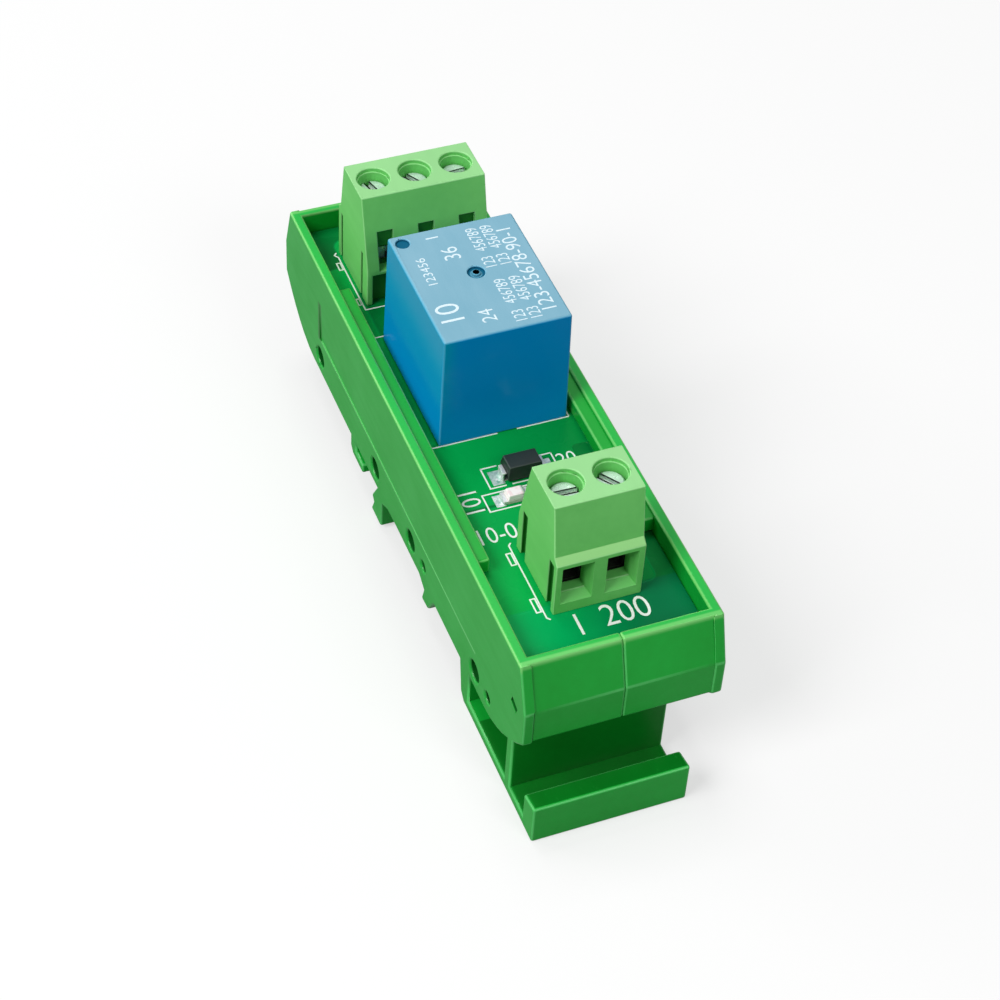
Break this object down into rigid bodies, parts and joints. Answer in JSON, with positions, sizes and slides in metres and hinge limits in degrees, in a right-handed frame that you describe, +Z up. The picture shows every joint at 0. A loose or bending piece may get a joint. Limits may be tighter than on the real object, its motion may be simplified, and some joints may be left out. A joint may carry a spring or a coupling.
{
  "type": "relay module board",
  "caption": "Relay circuit board with screw terminals in a two-part plastic carrier that clips onto a mounting rail.",
  "frame": {"origin": "centre of the bounding box on the plane that the foot rests on", "axes": "+Z up out of the board, +Y along the board from the two-way block to the three-way block, +X to the right as seen from the two-way block"},
  "size_m": [0.023, 0.0846, 0.0345],
  "materials": {
    "carrier_plastic": "satin moulded polyamide",
    "board_laminate": "green solder mask over copper",
    "block_plastic": "satin moulded polyamide",
    "zinc_plate": "bright zinc plate",
    "tinned_metal": "tinned",
    "cover_plastic": "glossy sides and a matt top",
    "relay_steel": "zinc plate",
    "coil_wire": "enamelled copper",
    "bobbin_plastic": "satin",
    "contact_metal": "rolled copper alloy",
    "black_epoxy": "matt moulded epoxy",
    "lamp_resin": "clear resin over a pale die",
    "lamp_ceramic": "satin"
  },
  "bodies": {
    "module": {"left_carrier_half": "carrier_plastic", "right_carrier_half": "carrier_plastic", "circuit_board": "board_laminate", "solder_joints": "tinned_metal", "two_way_housing": "block_plastic", "two_way_contacts": "tinned_metal", "three_way_housing": "block_plastic", "three_way_contacts": "tinned_metal", "relay_cover": "cover_plastic", "relay_base": "cover_plastic", "relay_yoke": "relay_steel", "relay_core": "relay_steel", "relay_bobbin": "bobbin_plastic", "relay_winding": "coil_wire", "relay_coil_pins": "tinned_metal", "relay_open_contact": "contact_metal", "relay_closed_contact": "contact_metal", "diode_body": "black_epoxy", "diode_leads": "tinned_metal", "lamp_base": "lamp_ceramic", "lamp_lens": "lamp_resin", "lamp_end_caps": "tinned_metal", "resistor_body": "black_epoxy", "resistor_end_caps": "tinned_metal"},
    "armature": {"relay_armature": "relay_steel", "relay_contact_spring": "contact_metal", "relay_moving_contact": "tinned_metal"},
    "input_screw_1": {"input_screw_1": "zinc_plate"},
    "input_cage_1": {"input_cage_1": "zinc_plate"},
    "input_screw_2": {"input_screw_2": "zinc_plate"},
    "input_cage_2": {"input_cage_2": "zinc_plate"},
    "output_screw_1": {"output_screw_1": "zinc_plate"},
    "output_cage_1": {"output_cage_1": "zinc_plate"},
    "output_screw_2": {"output_screw_2": "zinc_plate"},
    "output_cage_2": {"output_cage_2": "zinc_plate"},
    "output_screw_3": {"output_screw_3": "zinc_plate"},
    "output_cage_3": {"output_cage_3": "zinc_plate"}
  },
  "joints": [
    {"name": "input_screw_1_turn", "type": "hinge", "parent": "module", "child": "input_screw_1", "pos_m": [-0.00214, -0.02346, 0.0302], "axis": [0, 0, -1], "range_deg": [0, 1920]},
    {"name": "input_cage_1_lift", "type": "slide", "parent": "module", "child": "input_cage_1", "axis": [0, 0, 1], "range_m": [0, 0.0024]},
    {"name": "input_screw_2_turn", "type": "hinge", "parent": "module", "child": "input_screw_2", "pos_m": [0.00294, -0.02346, 0.0302], "axis": [0, 0, -1], "range_deg": [0, 1920]},
    {"name": "input_cage_2_lift", "type": "slide", "parent": "module", "child": "input_cage_2", "axis": [0, 0, 1], "range_m": [0, 0.0024]},
    {"name": "output_screw_1_turn", "type": "hinge", "parent": "module", "child": "output_screw_1", "pos_m": [0.00548, 0.02948, 0.0302], "axis": [0, 0, -1], "range_deg": [0, 1920]},
    {"name": "output_cage_1_lift", "type": "slide", "parent": "module", "child": "output_cage_1", "axis": [0, 0, 1], "range_m": [0, 0.0024]},
    {"name": "output_screw_2_turn", "type": "hinge", "parent": "module", "child": "output_screw_2", "pos_m": [0.0004, 0.02948, 0.0302], "axis": [0, 0, -1], "range_deg": [0, 1920]},
    {"name": "output_cage_2_lift", "type": "slide", "parent": "module", "child": "output_cage_2", "axis": [0, 0, 1], "range_m": [0, 0.0024]},
    {"name": "output_screw_3_turn", "type": "hinge", "parent": "module", "child": "output_screw_3", "pos_m": [-0.00468, 0.02948, 0.0302], "axis": [0, 0, -1], "range_deg": [0, 1920]},
    {"name": "output_cage_3_lift", "type": "slide", "parent": "module", "child": "output_cage_3", "axis": [0, 0, 1], "range_m": [0, 0.0024]},
    {"name": "relay_armature_tilt", "type": "hinge", "parent": "module", "child": "armature", "pos_m": [0.0004, 0.00068, 0.031], "axis": [-1, 0, 0], "range_deg": [0, 1.75], "stiffness_Nm_per_rad": 0.003, "springref_deg": -2.86}
  ],
  "couplings": [
    {"joint": "input_screw_1_turn", "follows": "input_cage_1_lift", "rad_per_m": 13963},
    {"joint": "input_screw_2_turn", "follows": "input_cage_2_lift", "rad_per_m": 13963},
    {"joint": "output_screw_1_turn", "follows": "output_cage_1_lift", "rad_per_m": 13963},
    {"joint": "output_screw_2_turn", "follows": "output_cage_2_lift", "rad_per_m": 13963},
    {"joint": "output_screw_3_turn", "follows": "output_cage_3_lift", "rad_per_m": 13963}
  ]
}
